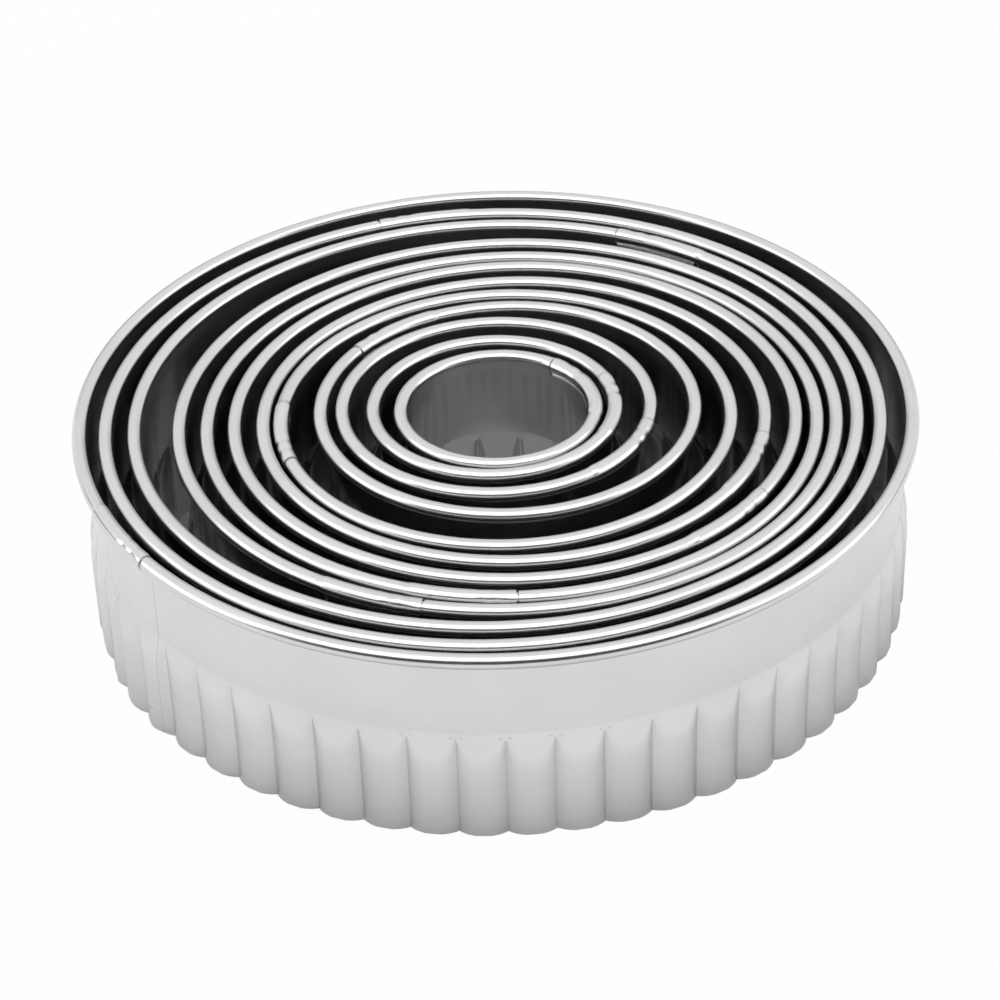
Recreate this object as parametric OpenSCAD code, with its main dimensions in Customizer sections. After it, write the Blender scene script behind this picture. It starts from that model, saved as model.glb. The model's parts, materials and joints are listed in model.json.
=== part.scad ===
// Nest of twelve fluted round biscuit cutters, stored one inside the other.
// Each cutter is one thin steel strip. Its top edge is curled outward into a
// tubular rim, a plain collar runs below the rim and a scalloped skirt reaches
// down to the cutting edge. The strip's ends overlap in a lap that two spot
// welds hold, and one end of the rim is pushed into the other.
// The origin is the centre of the largest cutter, on the cutting edge plane.

/* [Nest] */
// Outer diameter of the largest cutter, over its rim
nest_d = 115; // [108:0.5:150]
// Least free gap between the rims of neighbouring cutters
run_gap = 0.3; // [0.3:0.05:0.5]

/* [Cutter] */
// Height of every cutter, cutting edge to the top of the rim
cutter_h = 29; // [22:0.5:45]
// Thickness of the steel strip
sheet_t = 0.3; // [0.2:0.05:0.4]
// Outside diameter of the curled rim's tube
rim_d = 2; // [1.8:0.1:2.6]

/* [Flutes] */
// Height of the fluted skirt, with its shoulder
flute_h = 15.8; // [8:0.2:18]
// Height of the sloping shoulder at the top of the flutes
shoulder_h = 2.4; // [0.8:0.1:3]
// Length of one flute along the collar
flute_pitch = 6.27; // [5:0.01:9]
// How far a flute stands proud of the collar
flute_depth = 1.05; // [0.4:0.05:1.3]
// Share of the pitch left plain between two flutes
flute_land = 0.1; // [0.05:0.05:0.3]

/* [Seam] */
// Length of the lap along the strip
lap_l = 13; // [8:0.5:14]
// Length of the step that lifts the outer layer over the inner one
jog_l = 1; // [0.6:0.1:1.5]
// Hairline gap between the two layers of the lap
lap_gap = 0.03; // [0.02:0.01:0.05]
// How far the rim's sleeve stands proud of the rim
sleeve_over = 0.12; // [0.1:0.01:0.2]
// Open joint between the end of the sleeve and the rim that enters it
joint_gap = 0.25; // [0.15:0.05:0.4]

/* [Spot welds] */
// Diameter of a spot weld
weld_d = 2; // [1.5:0.1:2.4]
// Distance from the end of a layer to the centre of its weld
weld_inset = 1.6; // [1.5:0.1:3]
// Height of the lower weld above the cutting edge
weld_low_z = 3; // [2:0.5:6]
// Height of the upper weld's centre above the flutes
weld_rise = 0.3; // [0.2:0.1:2]

/* [Hidden] */

// Radial room between each rim and the rim of the next cutter inward,
// which sets the graded diameters
rim_gaps = [2, 1.5, 2.5, 1.25, 1.25, 2, 1.5, 3, 2.5, 2.5, 1.25];
// How the loose cutters have drifted in that room: share used, and direction
drift_share = [0.8, 0.38, 0.93, 1, 0.72, 0.16, 0.97, 0.7, 0.74, 0.2, 0.94];
drift_angle = [252, 14, 326, 315, 42, 233, 180, 82, 169, 225, 310];
// Angle at which each rim's sleeve ends, anticlockwise from the right
seam_angle = [217, 107.6, 67, 255.1, 269.6, 326.1, 346.8, 199.5, 144, 343.9, 21.3, 52.2];
// Angle of the valley that every skirt's flutes are counted from
valley_angle = -90;

rim_r = rim_d / 2;
// The curl stands this far inside the wall, so that the two faces cross cleanly
curl_step = 0.05 * rim_r;
rim_z = cutter_h - rim_r;
// Heights at which wall and outer lap layer run into the curl
wall_top = rim_z - 0.25 * rim_r;
lap_top = rim_z - 0.8 * rim_r;
// The inner layer is notched below the rim along the lap
notch_z = rim_z - 1.5 * rim_r;
shoulder_z = flute_h - shoulder_h;
shoulder_slope = flute_depth / shoulder_h;
// The slot between wall and curled edge, as angles around the tube
slot_from = 232;
slot_to = 252;
// Neighbouring end faces of layers, sleeve and rim stand this far apart along
// the strip, so that no two of them share a plane
end_step = 0.12;
// Cutting bodies run past the solid by this much
over = 1;
$fn = 96;

// Outer radius of cutter k over its rim, counted inward from the largest
function outer_r(k) = k == 0 ? nest_d / 2 : outer_r(k - 1) - rim_d - rim_gaps[k - 1];
// Place of cutter k: each one drifts within the cutter around it
function drift(k) = drift_share[k - 1] * (rim_gaps[k - 1] - sleeve_over - run_gap);
function centre(k) = k == 0
    ? [0, 0, 0]
    : centre(k - 1) + drift(k) * [cos(drift_angle[k - 1]), sin(drift_angle[k - 1]), 0];

function curl_r(k) = outer_r(k) - rim_r;
function bore_r(k) = curl_r(k) - rim_r + curl_step;
function wall_r(k) = bore_r(k) + sheet_t;
// Angle that a length along the wall spans
function span(k, length) = length / wall_r(k) * 180 / PI;

function flutes(k) = round(2 * PI * wall_r(k) / flute_pitch);
// Each flute is an arc through its crest and the two ends of its base
function half_base(k) = 180 / flutes(k) * (1 - flute_land);
function base_x(k) = wall_r(k) * sin(half_base(k));
function rise(k) = wall_r(k) + flute_depth - wall_r(k) * cos(half_base(k));
function flute_r(k) = (base_x(k) * base_x(k) + rise(k) * rise(k)) / (2 * rise(k));

// The angles between which the seam of cutter k works
function lap_end(k) = seam_angle[k];
function lap_start(k) = lap_end(k) - span(k, lap_l);
function jog_start(k) = lap_start(k) - span(k, jog_l);
function sleeve_end(k) = lap_end(k) + span(k, end_step);
function notch_end(k) = sleeve_end(k) + span(k, joint_gap / 2);
function rim_start(k) = sleeve_end(k) + span(k, joint_gap);

// Wedge around the axis from one angle to another, between two heights
module sector(k, from, to, low, high) {
    reach = 1.5 * outer_r(k);
    steps = 4;
    arc = [for (i = [0 : steps]) from + (to - from) * i / steps];
    translate([0, 0, low])
        linear_extrude(high - low)
            polygon(concat([[0, 0]], [for (a = arc) reach * [cos(a), sin(a)]]));
}

// Round flutes between two angles, their surface moved outward by off
module flute_columns(k, off, from, to) {
    pitch = 360 / flutes(k);
    first = floor((from - valley_angle) / pitch);
    last = min(floor((to - valley_angle) / pitch), first + flutes(k) - 1);
    for (i = [first : last])
        rotate(valley_angle + (i + 0.5) * pitch)
            translate([wall_r(k) + flute_depth - flute_r(k), 0])
                circle(flute_r(k) + off);
}

// Everything inside the wall's outer surface moved outward by off:
// the plain cylinder of the collar with the flutes and their shoulder
module body_shape(k, off, low, high, from = 0, to = 359) {
    below = shoulder_z - low;
    translate([0, 0, low])
        cylinder(r = wall_r(k) + off, h = high - low);
    intersection() {
        translate([0, 0, low])
            linear_extrude(flute_h + over - low)
                flute_columns(k, off, from, to);
        translate([0, 0, low])
            cylinder(r1 = wall_r(k) + flute_depth + off + below * shoulder_slope,
                     r2 = wall_r(k) + off - over * shoulder_slope,
                     h = flute_h + over - low);
    }
}

// One round of the closed wall, the lap's outer layer lifted over it
module walls(k) {
    pad_off = lap_gap + sheet_t;
    difference() {
        union() {
            body_shape(k, 0, 0, wall_top);
            intersection() {
                body_shape(k, pad_off, 0, lap_top, jog_start(k), lap_end(k));
                sector(k, jog_start(k), lap_end(k), -over, cutter_h);
            }
        }
        body_shape(k, -sheet_t, -over, cutter_h);
        layer_slit(k);
        // The inner layer ends here, and its top edge is cut clear of the rim
        intersection() {
            body_shape(k, lap_gap, -over, cutter_h, lap_start(k), lap_start(k));
            sector(k, lap_start(k), lap_start(k) + span(k, joint_gap), -over, cutter_h);
        }
        intersection() {
            translate([0, 0, notch_z])
                cylinder(r = wall_r(k) + lap_gap, h = cutter_h);
            sector(k, lap_start(k), notch_end(k), notch_z, cutter_h);
        }
        weld_columns(k);
    }
}

// Hairline between the two layers, open at the outer layer's end
module layer_slit(k) {
    past = sleeve_end(k);
    intersection() {
        difference() {
            body_shape(k, lap_gap, -over, cutter_h, lap_start(k), past);
            body_shape(k, 0, -2 * over, cutter_h + over, lap_start(k), past);
        }
        sector(k, lap_start(k), past, -over, cutter_h);
    }
}

// Part of the rim between two angles, as a tube of outer radius r
module rim_tube(k, from, to, r) {
    rotate([0, 0, from])
        rotate_extrude(angle = to - from)
            translate([curl_r(k), rim_z])
                difference() {
                    circle(r);
                    circle(r - sheet_t);
                }
}

// The open curl: a tube with a slot where the rolled edge stops short of the wall
module rim_curl(k, from, to) {
    far = 2 * rim_r;
    rotate([0, 0, from])
        rotate_extrude(angle = to - from)
            translate([curl_r(k), rim_z])
                difference() {
                    circle(rim_r);
                    circle(rim_r - sheet_t);
                    polygon([
                        [0, 0],
                        far * [cos(slot_from), sin(slot_from)],
                        far * [cos(slot_to), sin(slot_to)]
                    ]);
                }
}

module weld_columns(k) {
    spots = [
        [lap_start(k) + span(k, weld_inset), flute_h + weld_rise],
        [lap_end(k) - span(k, weld_inset), weld_low_z]
    ];
    for (s = spots)
        rotate([0, 0, s[0]])
            translate([bore_r(k) - over, 0, s[1]])
                rotate([0, 90, 0])
                    cylinder(d = weld_d, h = sheet_t + flute_depth + 3 * over);
}

module cutter_strip(k) {
    sleeve_r = rim_r + sleeve_over;
    tongue_r = sleeve_r - sheet_t - lap_gap;
    tongue_start = lap_start(k) + span(k, joint_gap + end_step);
    color("gainsboro")
        translate(centre(k)) {
            // The sleeve grows out of the lap's outer layer
            union() {
                walls(k);
                rim_tube(k, jog_start(k) + span(k, end_step), sleeve_end(k), sleeve_r);
            }
            rim_curl(k, rim_start(k), lap_start(k) - span(k, end_step) + 360);
            rim_tube(k, tongue_start, rim_start(k) + span(k, jog_l), tongue_r);
        }
}

module cutter_welds(k) {
    color("silver")
        translate(centre(k))
            intersection() {
                weld_columns(k);
                difference() {
                    body_shape(k, lap_gap + sheet_t, 0, lap_top, jog_start(k), lap_end(k));
                    body_shape(k, -sheet_t, -over, cutter_h, jog_start(k), lap_end(k));
                }
            }
}

cutter_strip(0);  // cutter_01_strip
cutter_welds(0);  // cutter_01_spot_welds
cutter_strip(1);  // cutter_02_strip
cutter_welds(1);  // cutter_02_spot_welds
cutter_strip(2);  // cutter_03_strip
cutter_welds(2);  // cutter_03_spot_welds
cutter_strip(3);  // cutter_04_strip
cutter_welds(3);  // cutter_04_spot_welds
cutter_strip(4);  // cutter_05_strip
cutter_welds(4);  // cutter_05_spot_welds
cutter_strip(5);  // cutter_06_strip
cutter_welds(5);  // cutter_06_spot_welds
cutter_strip(6);  // cutter_07_strip
cutter_welds(6);  // cutter_07_spot_welds
cutter_strip(7);  // cutter_08_strip
cutter_welds(7);  // cutter_08_spot_welds
cutter_strip(8);  // cutter_09_strip
cutter_welds(8);  // cutter_09_spot_welds
cutter_strip(9);  // cutter_10_strip
cutter_welds(9);  // cutter_10_spot_welds
cutter_strip(10);  // cutter_11_strip
cutter_welds(10);  // cutter_11_spot_welds
cutter_strip(11);  // cutter_12_strip
cutter_welds(11);  // cutter_12_spot_welds
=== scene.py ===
import json
import math

import bpy
import numpy as np
from mathutils import Matrix, Vector

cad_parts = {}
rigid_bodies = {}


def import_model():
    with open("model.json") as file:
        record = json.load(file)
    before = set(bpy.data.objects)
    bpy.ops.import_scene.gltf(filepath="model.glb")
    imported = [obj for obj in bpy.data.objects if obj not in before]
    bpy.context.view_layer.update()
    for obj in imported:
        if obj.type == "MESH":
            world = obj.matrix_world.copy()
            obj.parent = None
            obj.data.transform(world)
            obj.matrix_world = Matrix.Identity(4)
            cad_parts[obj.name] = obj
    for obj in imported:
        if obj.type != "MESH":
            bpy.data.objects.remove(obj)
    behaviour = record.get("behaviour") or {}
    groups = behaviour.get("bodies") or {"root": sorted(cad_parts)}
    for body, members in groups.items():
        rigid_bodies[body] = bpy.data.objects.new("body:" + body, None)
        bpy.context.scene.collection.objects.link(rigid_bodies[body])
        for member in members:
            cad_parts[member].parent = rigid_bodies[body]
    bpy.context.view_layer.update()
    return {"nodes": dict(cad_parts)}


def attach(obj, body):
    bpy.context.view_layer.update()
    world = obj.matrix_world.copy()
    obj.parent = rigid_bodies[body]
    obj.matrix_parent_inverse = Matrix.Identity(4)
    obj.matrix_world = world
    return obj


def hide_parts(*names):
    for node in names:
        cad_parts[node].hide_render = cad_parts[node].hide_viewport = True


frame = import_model()
mm = 0.001
print("frame loaded:", len(frame["nodes"]), "CAD nodes")

# everything below is in millimetres until a mesh is written

nest = {
    "largest": 115,  # outer diameter of the largest cutter, over its rim
    "rimRoom": [2, 1.5, 2.5, 1.25, 1.25, 2, 1.5, 3, 2.5, 2.5, 1.25],  # from rim to next rim
    # how much of its free room each cutter has slid, and which way
    "driftShare": [0.8, 0.38, 0.93, 1, 0.72, 0.16, 0.97, 0.7, 0.74, 0.2, 0.94],
    "driftAngle": [252, 14, 326, 315, 42, 233, 180, 82, 169, 225, 310],
    "leastGap": 0.3,
    "seamAngle": [217, 107.6, 67, 255.1, 269.6, 326.1, 346.8, 199.5, 144, 343.9, 21.3, 52.2],
    "firstValley": -90,  # the flutes are counted from here
}

strip = {
    "height": 29,
    "thickness": 0.3,
    "edgeRound": 0.04,  # how far the cutting edge is eased
    "edgeEase": 0.35,  # over this height
    "beadLean": 0.015,  # the wall leans in this much to meet the rim
    # heights of the mesh rows, apart from the close ones at the flutes' tops
    "skirtRows": [0, 0.06, 0.18, 0.4, 2, 5, 7, 8.5, 10, 11],
    "collarRows": [17.6, 20, 23],
}

rim = {
    "radius": 1.0,
    "rolledTo": -108,  # where the rolled edge stops, round the tube
    "sleeveOver": 0.12,  # the sleeve's tube is larger by this much
    "sleeveFrom": 215,  # the sleeve's wall meets the tube here
    "crimpsAt": [2.3, 4.4],  # from the sleeve's end
    "crimpDepth": 0.13,
    "crimpWidth": 0.62,
    "crimpFlat": 0.07,  # the crimping jaws leave a flat between the dents
    "crimpFrom": (0.6, 1.6),  # the flat sets in between these two distances
    "crimpLength": 5.2,
    "crimpFade": 1,
    "crimpFaces": 25,  # the jaws come from this angle
    "crimpAllRound": 0.3,  # share of a dent that shows on the tube's far side
    "endRise": (-0.02, 0.05),  # the tongue swells to the full rim between these
    "steps": 18,  # mesh rows round the tube, and from the wall to it
    "neckSteps": 4,
}

lap = {
    "length": 13,
    "jog": 1,  # length of the step up on to the inner layer
    "layerGap": 0.03,
    "jointGap": 0.25,
    "notchBelow": 1.05,  # the inner layer stops this far below the rim's centre
    "endThin": 0.27,  # the outer layer's end is ground thinner by this much
    "endEase": 2.2,  # over this length of it
    "columnStep": 0.3,
    "startRun": 1.5,  # length past the rim's start that needs close mesh columns
    "endColumns": (-0.025, 0.02, 0.06),  # columns that draw the rim's start crisply
    "columnRoom": 0.03,  # no other column stands closer to these
}

flute = {
    "height": 15.8,
    "shoulder": 7.0,  # height over which the crest rises out of the collar
    "cornerShoulder": 0.3,  # share of it at the flute's two top corners
    "lip": 0.1,  # small step where the pressing starts
    "cornerLip": 0.42,  # the same at the two top corners
    "lipHeight": 0.55,
    "closeRows": (4.0, 0.9, 0.3),  # how far below and above the top, and their step
    "pitch": 6.27,
    "depth": 1.05,
    "flankShare": 0.035,  # share of the depth that falls right beside the valley
    "flankPower": 14,
    "cornerDrop": 0.5,  # the flute's top corners sit lower than its crest
    "valleyRound": 0.035,
    "echo": 0.02,  # the flutes show this much through the collar above them
    "echoFrom": 2,  # below the flute's top
    "echoLost": 0.7,  # share of it that is gone at the rim
    "sidePower": 6,  # how closely the corners' sizes keep to the corners
    "topRound": 0.06,
    "overRise": 1.5,  # the shoulder outgrows the crest, which then takes over
    "fade": (0.2, 1.2),  # above its top the flute dies out between these heights
}

# where the mesh lines stand across one flute, from valley to valley
fluteColumns = [0, 0.008, 0.02, 0.036, 0.06, 0.11, 0.2, 0.34]
fluteColumns = fluteColumns + [1 - x for x in reversed(fluteColumns[1:])]

weld = {
    "radius": 1.0,
    "inset": 1.6,  # from the end of a layer
    "low": 3,  # height of the lower mark
    "aboveFlutes": 0.3,
    "ridge": 0.036,  # how proud the ring round the mark stands
    "dish": -0.012,
    "root": -0.03,  # the mark's edge starts inside the sheet
    "rings": (0, 0.3, 0.55, 0.72, 0.84, 0.93, 1.0),
    "profileAt": (0, 0.45, 0.8, 0.93, 1.0),
    "outerSlope": 0.6,
    "spokes": 28,
}


def smoothStep(x, low, high):
    t = np.clip((x - low) / (high - low), 0, 1)
    return t * t * (3 - 2 * t)


def softFloor(x, width):
    # nought and up, with the corner rounded
    return 0.5 * (x + np.sqrt(x * x + width * width))


def lesserOf(a, b):
    # the smaller of two lengths, with the corner rounded
    return a * b / np.power(a ** 4 + b ** 4 + 1e-12, 0.25)


def planNest():
    cutters, centre, outer = [], np.zeros(2), nest["largest"] / 2
    for number in range(len(nest["seamAngle"])):
        if number:
            room = nest["rimRoom"][number - 1]
            turn = math.radians(nest["driftAngle"][number - 1])
            slip = nest["driftShare"][number - 1] * (room - rim["sleeveOver"] - nest["leastGap"])
            centre = centre + slip * np.array([math.cos(turn), math.sin(turn)])
            outer -= 2 * rim["radius"] + room
        tube = outer - rim["radius"]
        bore = tube - rim["radius"] + strip["beadLean"]
        wall = bore + strip["thickness"]
        count = round(2 * math.pi * wall / flute["pitch"])
        end = math.radians(nest["seamAngle"][number])
        cutters.append({
            "body": f"cutter_{number + 1:02d}", "centre": centre,
            "tube": tube, "wall": wall, "flutes": count, "lapEnd": end,
            "lapStart": end - lap["length"] / wall,
            "jogStart": end - (lap["length"] + lap["jog"]) / wall,
            "notchEnd": end + lap["jointGap"] / 2 / wall,
            "rimStart": end + lap["jointGap"] / wall,
        })
    return cutters


def climb(cutter, turn):
    # one full turn on, the strip climbs on to its own start over the jog
    full = 2 * math.pi
    return smoothStep(turn, cutter["jogStart"] + full, cutter["lapStart"] + full)


def layerLift(cutter, turn):
    up = lap["layerGap"] + strip["thickness"]
    return up * climb(cutter, turn)


def endShare(cutter, turn):
    # how far the outer layer's end is ground and pressed down on to the inner one
    beforeEnd = (cutter["lapEnd"] + 2 * math.pi - turn) * cutter["wall"]
    return 1 - smoothStep(beforeEnd, 0, lap["endEase"])


def wallRadius(cutter, turn, height):
    # outer face of the strip, measured from the cutter's own axis
    pitch = 2 * math.pi / cutter["flutes"]
    across = ((turn - math.radians(nest["firstValley"])) / pitch) % 1
    side = np.abs(2 * across - 1)  # 0 at the crest, 1 in the valley
    corner = side ** flute["sidePower"]
    full = flute["height"]

    # the flute's round face, and the shoulder that cuts it off at its top
    flank = flute["flankShare"]
    crest = 1 - (1 - flank) * side ** 2 - flank * side ** flute["flankPower"]
    proud = softFloor(flute["depth"] * crest, flute["valleyRound"])
    top = full - flute["cornerDrop"] * corner
    rise = flute["shoulder"] * (1 - (1 - flute["cornerShoulder"]) * corner)
    below = softFloor(top - height, flute["topRound"])
    lip = flute["lip"] + (flute["cornerLip"] - flute["lip"]) * side ** 3
    shoulder = lip * (1 - np.exp(-below / flute["lipHeight"]))
    shoulder = shoulder + flute["overRise"] * flute["depth"] * smoothStep(below, 0, rise)
    fade = 1 - smoothStep(height, full + flute["fade"][0], full + flute["fade"][1])

    echo = flute["echo"] * np.cos(2 * math.pi * (across - 0.5))
    echo = echo * smoothStep(height, full - flute["echoFrom"], full)
    echo = echo * (1 - flute["echoLost"] * smoothStep(height, full, strip["height"]))
    eased = strip["edgeRound"] * (1 - smoothStep(height, 0, strip["edgeEase"]))
    layers = layerLift(cutter, turn) - (lap["endThin"] + lap["layerGap"]) * endShare(cutter, turn)
    return cutter["wall"] + lesserOf(proud, shoulder) * fade + echo + layers - eased


def wallPoint(cutter, turn, height):
    radius = wallRadius(cutter, turn, height)
    return np.stack([radius * np.cos(turn), radius * np.sin(turn), height + 0 * radius], -1)


def wallNormal(cutter, turn, height):
    small = 1e-4
    alongTurn = wallPoint(cutter, turn + small, height) - wallPoint(cutter, turn - small, height)
    alongHeight = wallPoint(cutter, turn, height + small) - wallPoint(cutter, turn, height - small)
    normal = np.cross(alongTurn, alongHeight)
    return normal / np.linalg.norm(normal, axis=-1, keepdims=True)


def columnTurns(cutter):
    # from the inner layer's end once round to the outer layer's end
    start = cutter["lapStart"] + lap["jointGap"] / cutter["wall"]
    finish = cutter["lapEnd"] + 2 * math.pi
    pitch = 2 * math.pi / cutter["flutes"]
    zero = math.radians(nest["firstValley"])
    first = math.floor((start - zero) / pitch)
    turns = [zero + (first + i + x) * pitch for i in range(cutter["flutes"] * 2) for x in fluteColumns]
    step = lap["columnStep"] / cutter["wall"]
    busy = [(start, cutter["rimStart"] + lap["startRun"] / cutter["wall"]),
            (cutter["jogStart"] + 2 * math.pi, finish)]
    for low, high in busy:
        turns = [t for t in turns if t < low - step / 2 or t > high + step / 2]
        turns += list(np.linspace(low, high, 1 + round((high - low) / step)))
    crisp = [cutter["notchEnd"]] + [cutter["rimStart"] + x / cutter["wall"] for x in lap["endColumns"]]
    room = lap["columnRoom"] / cutter["wall"]
    turns = [t for t in turns if all(abs(t - c) > room for c in crisp)] + crisp
    return np.array(sorted(t for t in turns if start - 1e-9 <= t <= finish + 1e-9))


def rowHeights():
    top = strip["height"] - rim["radius"] - lap["notchBelow"]
    below, above, step = flute["closeRows"]
    bend = list(np.arange(flute["height"] - below, flute["height"] + above, step))
    return np.array(strip["skirtRows"] + bend + strip["collarRows"] + [top])


def tubeSize(cutter, turn):
    # radius of the rim's tube: squeezed tongue, rim, then sleeve
    tongue = rim["radius"] + rim["sleeveOver"] - strip["thickness"] - lap["layerGap"]
    low, high = [cutter["rimStart"] + x / cutter["wall"] for x in rim["endRise"]]
    size = tongue + (rim["radius"] - tongue) * smoothStep(turn, low, high)
    return size + rim["sleeveOver"] * climb(cutter, turn)


def tubeStart(cutter, turn):
    # angle round the tube at which the wall runs into it
    return 180 + (rim["sleeveFrom"] - 180) * climb(cutter, turn)


def crimp(cutter, turn, around):
    # flats with two dents, pressed into the sleeve's outside near its end
    along = (cutter["lapEnd"] + 2 * math.pi - turn) * cutter["wall"]
    dent = sum(np.exp(-((along - at) / rim["crimpWidth"]) ** 2) for at in rim["crimpsAt"])
    facing = np.cos(np.radians(around - rim["crimpFaces"]))
    size = rim["radius"] + rim["sleeveOver"]
    flat = np.clip(size - (size - rim["crimpFlat"]) / np.clip(facing, 0.3, 1), 0, None)
    last = rim["crimpLength"]
    pressed = smoothStep(along, *rim["crimpFrom"]) * (1 - smoothStep(along, last - rim["crimpFade"], last))
    share = rim["crimpAllRound"] + (1 - rim["crimpAllRound"]) * np.clip(facing, 0, 1)
    return flat * pressed + rim["crimpDepth"] * dent * share


def buildStrip(cutter):
    turns = columnTurns(cutter)
    heights = rowHeights()
    turn, height = np.meshgrid(turns, heights, indexing="ij")
    outer = wallPoint(cutter, turn, height)
    sheet = strip["thickness"] - lap["endThin"] * endShare(cutter, turn)
    inner = outer - sheet[..., None] * wallNormal(cutter, turn, height)
    inner[:, 0, 2] = outer[:, 0, 2]

    # between the wall and the tube: straight, then leaning in
    rimZ = strip["height"] - rim["radius"]
    size = tubeSize(cutter, turns)[:, None]
    start = tubeStart(cutter, turns)[:, None]
    share = np.linspace(0, 1, rim["steps"] + 1)[None, :]
    around = start + (rim["rolledTo"] - start) * share
    size = size - crimp(cutter, turns[:, None], around)
    spin = np.radians(around)

    def ringPoint(radius, z):
        t = turns[:, None] + 0 * radius
        return np.stack([radius * np.cos(t), radius * np.sin(t), z], -1)

    tubeOut = ringPoint(cutter["tube"] + size * np.cos(spin), rimZ + size * np.sin(spin))
    bored = size - strip["thickness"]
    tubeIn = ringPoint(cutter["tube"] + bored * np.cos(spin), rimZ + bored * np.sin(spin))

    # bore side runs on into the tube's outside, wall side into its inside
    neck = np.linspace(0, 1, rim["neckSteps"] + 1)[1:-1]
    last = len(heights) - 1
    t = neck[None, :, None]
    ease = t * t * (3 - 2 * t)

    def neckPoints(fromPoint, toPoint):
        a, b = fromPoint[:, None, :], toPoint[:, None, :]
        flat = a[..., :2] + (b - a)[..., :2] * ease
        return np.concatenate([flat, a[..., 2:] + (b - a)[..., 2:] * t], -1)

    boreSide = np.concatenate([inner, neckPoints(inner[:, last], tubeOut[:, 0]), tubeOut], 1)
    wallSide = np.concatenate([outer, neckPoints(outer[:, last], tubeIn[:, 0]), tubeIn], 1)
    columns, rows = boreSide.shape[:2]

    # the tongue hangs free of the notched inner layer
    keep = np.ones((columns - 1, rows - 1), bool)
    loose = turns[:-1] < cutter["notchEnd"] - 1e-9
    keep[np.ix_(loose, np.arange(last, last + len(neck) + 1))] = False

    index = np.arange(columns * rows).reshape(columns, rows)
    quads = np.stack([index[:-1, :-1], index[1:, :-1], index[1:, 1:], index[:-1, 1:]], -1)[keep]
    offset = columns * rows
    faces = [quads, quads[:, ::-1] + offset]

    # close every open side with a wall as thick as the sheet
    edges = np.concatenate([quads[:, [i, (i + 1) % 4]] for i in range(4)])
    key = np.sort(edges, 1)
    _, where, times = np.unique(key, axis=0, return_index=True, return_counts=True)
    openEdges = edges[where[times == 1]]
    near, far = openEdges[:, 1], openEdges[:, 0]
    faces.append(np.stack([near, far, far + offset, near + offset], -1))
    points = np.concatenate([wallSide.reshape(-1, 3), boreSide.reshape(-1, 3)])
    points[:, :2] += cutter["centre"]
    return points, np.concatenate(faces)


def buildMark(cutter, turnAt, heightAt):
    # one weld nugget through both layers, its face a shallow dish in a low ring
    spokes, rings = weld["spokes"], np.array(weld["rings"])
    dish, ridge = weld["dish"], weld["ridge"]
    heights = [dish, dish, ridge, ridge * weld["outerSlope"], weld["root"]]
    profile = np.interp(rings, weld["profileAt"], heights)
    spoke = np.linspace(0, 2 * math.pi, spokes, endpoint=False)
    ring, angle = np.meshgrid(rings, spoke, indexing="ij")
    turn = turnAt + weld["radius"] * ring * np.cos(angle) / cutter["wall"]
    height = heightAt + weld["radius"] * ring * np.sin(angle)
    face = wallPoint(cutter, turn + 2 * math.pi, height)
    normal = wallNormal(cutter, turn + 2 * math.pi, height)
    front = face + normal * profile[:, None, None]
    back = wallPoint(cutter, turn, height)
    back = back - wallNormal(cutter, turn, height) * (strip["thickness"] + profile[:, None, None])
    count = len(rings) * spokes
    index = np.arange(count).reshape(len(rings), spokes)
    across = np.roll(index, -1, axis=1)
    quads = np.stack([index[1:-1], index[2:], across[2:], across[1:-1]], -1).reshape(-1, 4)
    tips = np.stack([index[0], index[1], across[1]], -1)
    side = np.stack([index[-1], index[-1] + count, across[-1] + count, across[-1]], -1)
    points = np.concatenate([front.reshape(-1, 3), back.reshape(-1, 3)])
    points[:, :2] += cutter["centre"]
    faces = [list(f) for f in quads] + [list(f) for f in tips]
    faces += [[v + count for v in reversed(f)] for f in faces]
    return points, faces + [list(f) for f in side]


def makeObject(name, points, faces, sharpAngle):
    mesh = bpy.data.meshes.new(name)
    mesh.from_pydata((points * mm).tolist(), [], [list(f) for f in faces])
    mesh.validate()
    mesh.shade_smooth()
    mesh.set_sharp_from_angle(angle=math.radians(sharpAngle))
    made = bpy.data.objects.new(name, mesh)
    bpy.context.scene.collection.objects.link(made)
    return made


class Socket:
    # wraps a node output so that shader maths reads as plain expressions
    def __init__(self, tree, link):
        self.tree, self.link = tree, link

    def maths(self, operation, *values):
        return addNode(self.tree, "ShaderNodeMath", {"operation": operation}, dict(enumerate(values)))

    def __add__(self, other):
        return self.maths("ADD", self, other)

    def __radd__(self, other):
        return self.maths("ADD", other, self)

    def __sub__(self, other):
        return self.maths("SUBTRACT", self, other)

    def __rsub__(self, other):
        return self.maths("SUBTRACT", other, self)

    def __mul__(self, other):
        return self.maths("MULTIPLY", self, other)

    def __rmul__(self, other):
        return self.maths("MULTIPLY", other, self)


def addNode(tree, kind, settings=None, inputs=None, output=0):
    node = tree.nodes.new(kind)
    for name, value in (settings or {}).items():
        setattr(node, name, value)
    for name, value in (inputs or {}).items():
        if isinstance(value, Socket):
            tree.links.new(value.link, node.inputs[name])
        else:
            node.inputs[name].default_value = value
    return Socket(tree, node.outputs[output])


def addNoise(tree, place, scale, detail, roughness=0.5):
    return addNode(tree, "ShaderNodeTexNoise", {},
                   {"Vector": place, "Scale": scale, "Detail": detail, "Roughness": roughness})


def addRamp(tree, value, zone):
    # goes smoothly from 0 at the first end of the zone to 1 at the other
    return addNode(tree, "ShaderNodeMapRange", {"interpolation_type": "SMOOTHSTEP"},
                   {"Value": value, "From Min": zone[0], "From Max": zone[1]})


def addMix(tree, factor, first, second):
    return addNode(tree, "ShaderNodeMix", {"data_type": "RGBA", "clamp_factor": True},
                   {"Factor": factor, 6: first, 7: second}, 2)


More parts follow.
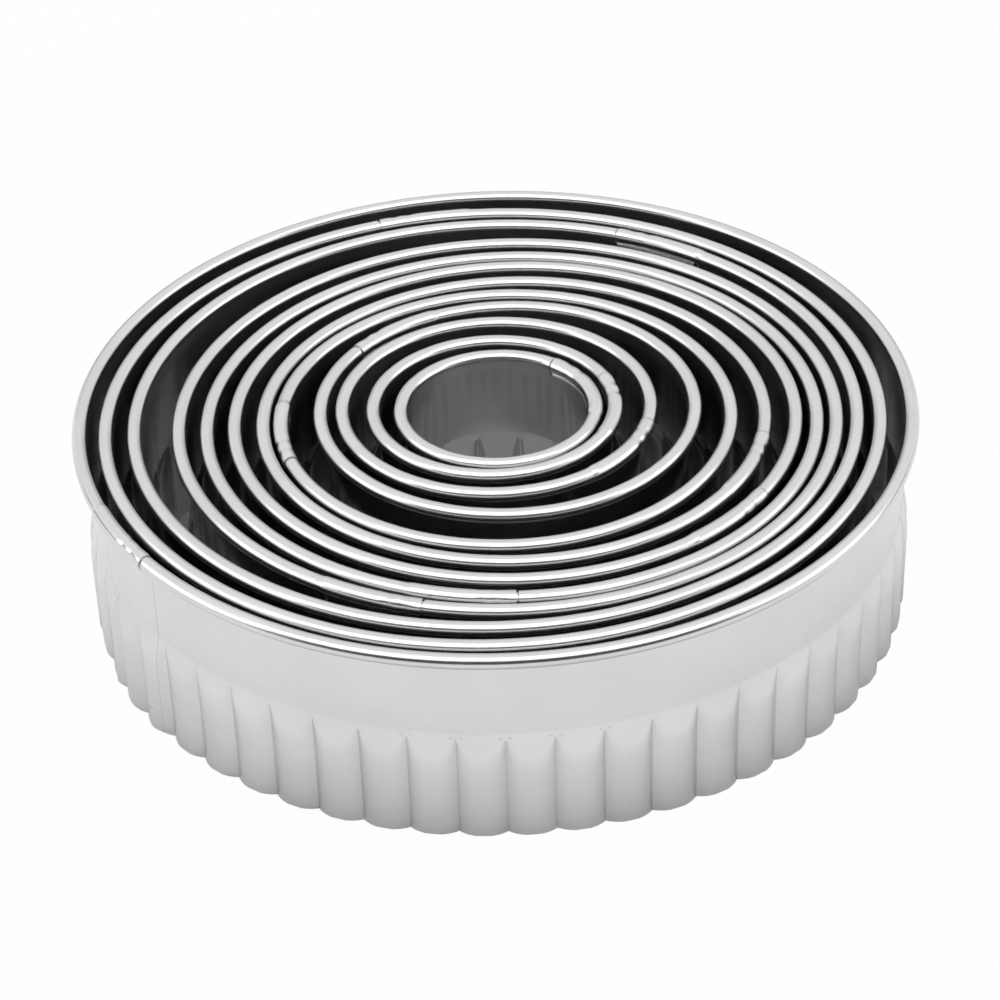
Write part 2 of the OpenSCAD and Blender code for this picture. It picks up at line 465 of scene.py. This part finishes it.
def newMaterial(name):
    material = bpy.data.materials.new(name)
    material.use_nodes = True
    material.node_tree.nodes.clear()
    return material, material.node_tree


def closeMaterial(tree, shader, kind="ShaderNodeOutputMaterial"):
    output = tree.nodes.new(kind)
    tree.links.new(shader.link, output.inputs["Surface"])


steel = {
    "bright": (0.76, 0.76, 0.76, 1),
    "dull": (0.66, 0.66, 0.665, 1),
    "rimRough": 0.25,
    "wallRough": 0.16,
    "edgeRough": 0.24,
    "rollingLines": 0.03,
    "smudges": 0.05,
    "rimZone": (0.0255, 0.0272),  # in metres, over which the wall's finish turns to the rim's
    "edgeZone": (0.0022, 0.0),
    "rollingScale": (60, 60, 4200),
    "handledScale": 70.0,
    "wear": 1.4,
    "wearFrom": 0.35,
    "wallStreaks": 0.5,
    "rimStreaks": 0.9,
    "fineScale": 900.0,
    "bumpStrength": 0.1,
    "bumpHeight": 0.00001,
}


def makeSteel():
    material, tree = newMaterial("polishedStrip")
    place = addNode(tree, "ShaderNodeTexCoord", {}, {}, "Object")
    split = tree.nodes.new("ShaderNodeSeparateXYZ")
    tree.links.new(place.link, split.inputs[0])
    height = Socket(tree, split.outputs["Z"])
    rimMask = addRamp(tree, height, steel["rimZone"])
    edgeMask = addRamp(tree, height, steel["edgeZone"])
    # rolling lines run round the strip, so the noise is squeezed along the height
    squeezed = addNode(tree, "ShaderNodeMapping", {}, {"Vector": place, "Scale": steel["rollingScale"]})
    lines = addNoise(tree, squeezed, 1.0, 3.0, 0.6)
    handled = addNoise(tree, place, steel["handledScale"], 4.0, 0.55)
    fine = addNoise(tree, place, steel["fineScale"], 2.0)
    rough = steel["wallRough"] + (steel["rimRough"] - steel["wallRough"]) * rimMask
    rough = rough + (steel["edgeRough"] - steel["wallRough"]) * edgeMask
    rough = rough + steel["smudges"] * (handled - 0.5)
    rough = rough + steel["rollingLines"] * (lines - 0.5) * (1 - rimMask)
    streaks = steel["wallStreaks"] + steel["rimStreaks"] * rimMask
    worn = (handled - steel["wearFrom"]) * steel["wear"] + (lines - 0.5) * streaks
    colour = addMix(tree, worn, steel["dull"], steel["bright"])
    bump = addNode(tree, "ShaderNodeBump", {},
                   {"Strength": steel["bumpStrength"], "Distance": steel["bumpHeight"],
                    "Height": lines * 0.6 + fine * 0.4})
    shader = addNode(tree, "ShaderNodeBsdfPrincipled", {},
                     {"Base Color": colour, "Metallic": 1.0, "Roughness": rough, "Normal": bump})
    closeMaterial(tree, shader)
    return material


weldFinish = {
    "fresh": (0.70, 0.70, 0.70, 1),
    "burnt": (0.50, 0.495, 0.49, 1),
    "rough": 0.3,
    "grain": 0.12,
    "grainScale": 2600.0,
    "stainScale": 700.0,
    "stainFrom": 0.35,
    "stainContrast": 1.8,
    "bumpStrength": 0.25,
    "bumpHeight": 0.00002,
}


def makeWeldFinish():
    # pressed and slightly burnt, so duller than the sheet round it
    material, tree = newMaterial("weldMark")
    place = addNode(tree, "ShaderNodeTexCoord", {}, {}, "Object")
    grain = addNoise(tree, place, weldFinish["grainScale"], 3.0, 0.6)
    stain = addNoise(tree, place, weldFinish["stainScale"], 2.0)
    stained = (stain - weldFinish["stainFrom"]) * weldFinish["stainContrast"]
    colour = addMix(tree, stained, weldFinish["fresh"], weldFinish["burnt"])
    bump = addNode(tree, "ShaderNodeBump", {},
                   {"Strength": weldFinish["bumpStrength"], "Distance": weldFinish["bumpHeight"],
                    "Height": grain})
    shader = addNode(tree, "ShaderNodeBsdfPrincipled", {},
                     {"Base Color": colour, "Metallic": 1.0, "Normal": bump,
                      "Roughness": weldFinish["rough"] + weldFinish["grain"] * (grain - 0.5)})
    closeMaterial(tree, shader)
    return material


cutters = planNest()
steelMaterial = makeSteel()
weldMaterial = makeWeldFinish()
for cutter in cutters:
    name = cutter["body"]
    points, faces = buildStrip(cutter)
    body = makeObject(name + ".strip", points, faces, 40)
    body.data.materials.append(steelMaterial)
    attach(body, name)
    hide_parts(name + "_strip")
strips = [o for o in bpy.data.objects if o.name.endswith(".strip")]
print("strips built:", sum(len(o.data.polygons) for o in strips), "faces")

for cutter in cutters:
    name = cutter["body"]
    spots = [(cutter["lapStart"] + weld["inset"] / cutter["wall"], flute["height"] + weld["aboveFlutes"]),
             (cutter["lapEnd"] - weld["inset"] / cutter["wall"], weld["low"])]
    allPoints, allFaces = [], []
    for turn, height in spots:
        points, faces = buildMark(cutter, turn, height)
        start = sum(len(p) for p in allPoints)
        allPoints.append(points)
        allFaces += [[v + start for v in f] for f in faces]
    marks = makeObject(name + ".spotWelds", np.concatenate(allPoints), allFaces, 50)
    marks.data.materials.append(weldMaterial)
    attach(marks, name)
    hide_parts(name + "_spot_welds")
print("weld marks built")


camera = {  # metres and radians, fitted to the twelve rims
    "place": (0.0, -0.34613, 0.25761),
    "aim": (0.00029, 0.0, 0.01189),
    "roll": -0.032,
    "lens": 109.53,  # on a 36 mm sensor
}


def makeCamera():
    data = bpy.data.cameras.new("photoCamera")
    data.lens, data.sensor_width = camera["lens"], 36
    data.clip_start, data.clip_end = 0.01, 20
    made = bpy.data.objects.new("photoCamera", data)
    bpy.context.scene.collection.objects.link(made)
    place, aim = Vector(camera["place"]), Vector(camera["aim"])
    forward = (aim - place).normalized()
    right = forward.cross(Vector((0, 0, 1))).normalized()
    up = right.cross(forward)
    c, s = math.cos(camera["roll"]), math.sin(camera["roll"])
    right, up = right * c + up * s, up * c - right * s
    turn = Matrix((right, up, -forward)).transposed().to_4x4()
    made.matrix_world = Matrix.Translation(place) @ turn
    bpy.context.scene.camera = made


studio = {  # metres
    "floorColour": (0.86, 0.86, 0.86, 1),
    "floorSize": 3.0,
    "whiteToCamera": 0.975,  # share of the floor that is plain white for each kind of ray
    "whiteToMetal": 1.0,
    "nestEdge": 0.0551,  # distance from the middle where those shares set in
    "edgeBlur": 0.0006,
    # how far the painted shade round the foot reaches in the floor that the metal sees
    "paintedShadowReach": 0.0098,
    "sky": 0.45,  # light from all round
    "backdrop": 1.0,  # white that the camera and metal see
    "lowBack": 0.7,  # metal sees this much less of it low down straight behind
    "lowZone": (0.5, 0.0),
    "behindZone": (0.8, 0.92),
    "lamps": {
        "key": {"place": (-0.3, 0.65, 0.6), "size": (0.9, 0.9), "power": 5.0, "lights": "floor"},
        "frontPanel": {"place": (0.0, -0.42, 0.85), "size": (1.6, 0.78), "power": 5.0, "lights": "metal"},
        "leftPanel": {"place": (-1.1, -0.15, 0.4), "size": (0.8, 0.7), "power": 2.6, "lights": "metal"},
        "rightPanel": {"place": (1.1, -0.05, 0.4), "size": (0.8, 0.7), "power": 2.2, "lights": "metal"},
    },
    # dark cards that only the metal sees
    "backFlag": (-1.45, 1.45, -0.95, 0.0, 0.84),  # left, right, y, bottom, top
    "sideFlags": (1.3, -0.9, 0.9, 0.0, 0.2),  # x, two ends in y, bottom, top
    "frontMat": (-1.4, 1.4, -0.95, -0.25, 0.0006),  # left, right, far, near, height
    "flagColour": (0.10, 0.10, 0.10, 1),
}


def raysSeen(tree):
    # 1 for rays from the camera, and 1 for those that metal and glass send on
    path = tree.nodes.new("ShaderNodeLightPath")
    kinds = ("Is Camera Ray", "Is Glossy Ray", "Is Transmission Ray")
    straight, glossy, through = [Socket(tree, path.outputs[kind]) for kind in kinds]
    return straight, glossy + through


def makePanel(name, corners, material):
    mesh = bpy.data.meshes.new(name)
    mesh.from_pydata(corners, [], [(0, 1, 2, 3)])
    mesh.materials.append(material)
    panel = bpy.data.objects.new(name, mesh)
    bpy.context.scene.collection.objects.link(panel)
    return panel


def makeStudio():
    side = studio["floorSize"]
    material, tree = newMaterial("paleFloor")
    matt = addNode(tree, "ShaderNodeBsdfDiffuse", {}, {"Color": studio["floorColour"]})
    white = addNode(tree, "ShaderNodeEmission", {}, {"Color": (1, 1, 1, 1), "Strength": 1.0})
    place = addNode(tree, "ShaderNodeTexCoord", {}, {}, "Object")
    away = addNode(tree, "ShaderNodeVectorMath", {"operation": "LENGTH"}, {0: place}, "Value")
    # under the nest the floor stays in its rendered shadow; round the foot the floor's white fades in with
    # distance from the nest, a painted shade that the metal sees
    edge, blur = studio["nestEdge"], studio["edgeBlur"]
    beyond = addRamp(tree, away, (edge - blur, edge + blur))
    paintedShadeFalloff = (edge - away) * (1 / studio["paintedShadowReach"])
    paintedShadeFalloff = paintedShadeFalloff.maths("MINIMUM", paintedShadeFalloff, 0.0)
    whiteOutsidePaintedShade = 1 - paintedShadeFalloff.maths("EXPONENT", paintedShadeFalloff)
    toCamera, toMetal = raysSeen(tree)
    share = studio["whiteToCamera"] * beyond * toCamera + studio["whiteToMetal"] * whiteOutsidePaintedShade * toMetal
    closeMaterial(tree, addNode(tree, "ShaderNodeMixShader", {}, {0: share, 1: matt, 2: white}))
    corners = [(-side, -side, 0), (side, -side, 0), (side, side, 0), (-side, side, 0)]
    makePanel("floor", corners, material)

    material, tree = newMaterial("darkFlag")
    closeMaterial(tree, addNode(tree, "ShaderNodeBsdfDiffuse", {}, {"Color": studio["flagColour"]}))
    left, right, y, low, high = studio["backFlag"]
    cards = [[(left, y, low), (right, y, low), (right, y, high), (left, y, high)]]
    x, back, front, low, high = studio["sideFlags"]
    for side in (-x, x):
        cards.append([(side, back, low), (side, front, low), (side, front, high), (side, back, high)])
    left, right, far, near, z = studio["frontMat"]
    cards.append([(left, far, z), (right, far, z), (right, near, z), (left, near, z)])
    for number, corners in enumerate(cards):
        card = makePanel(f"flag{number + 1}", corners, material)
        card.visible_camera = card.visible_diffuse = card.visible_shadow = False

    world = bpy.data.worlds.new("studio")
    bpy.context.scene.world = world
    world.use_nodes = True
    tree = world.node_tree
    tree.nodes.clear()
    toCamera, toMetal = raysSeen(tree)
    direction = tree.nodes.new("ShaderNodeSeparateXYZ")
    tree.links.new(addNode(tree, "ShaderNodeTexCoord", {}, {}, "Generated").link, direction.inputs[0])
    low = addRamp(tree, Socket(tree, direction.outputs["Z"]), studio["lowZone"])
    behind = addRamp(tree, Socket(tree, direction.outputs["Y"]), studio["behindZone"])
    more = studio["backdrop"] - studio["sky"]
    strength = studio["sky"] + more * toCamera + (more - studio["lowBack"] * low * behind) * toMetal
    back = addNode(tree, "ShaderNodeBackground", {}, {"Color": (1, 1, 1, 1), "Strength": strength})
    closeMaterial(tree, back, "ShaderNodeOutputWorld")

    for name, lamp in studio["lamps"].items():
        data = bpy.data.lights.new(name, "AREA")
        data.shape, (data.size, data.size_y) = "RECTANGLE", lamp["size"]
        data.energy = lamp["power"]
        made = bpy.data.objects.new(name, data)
        made.location = lamp["place"]
        made.rotation_euler = (-Vector(lamp["place"])).to_track_quat("-Z", "Y").to_euler()
        # the floor's lamp isn't mirrored in the metal, and the metal's don't light the floor
        made.visible_diffuse = lamp["lights"] == "floor"
        made.visible_glossy = lamp["lights"] == "metal"
        bpy.context.scene.collection.objects.link(made)


makeCamera()
makeStudio()
bpy.context.scene.view_settings.view_transform = "Standard"
print("studio ready")
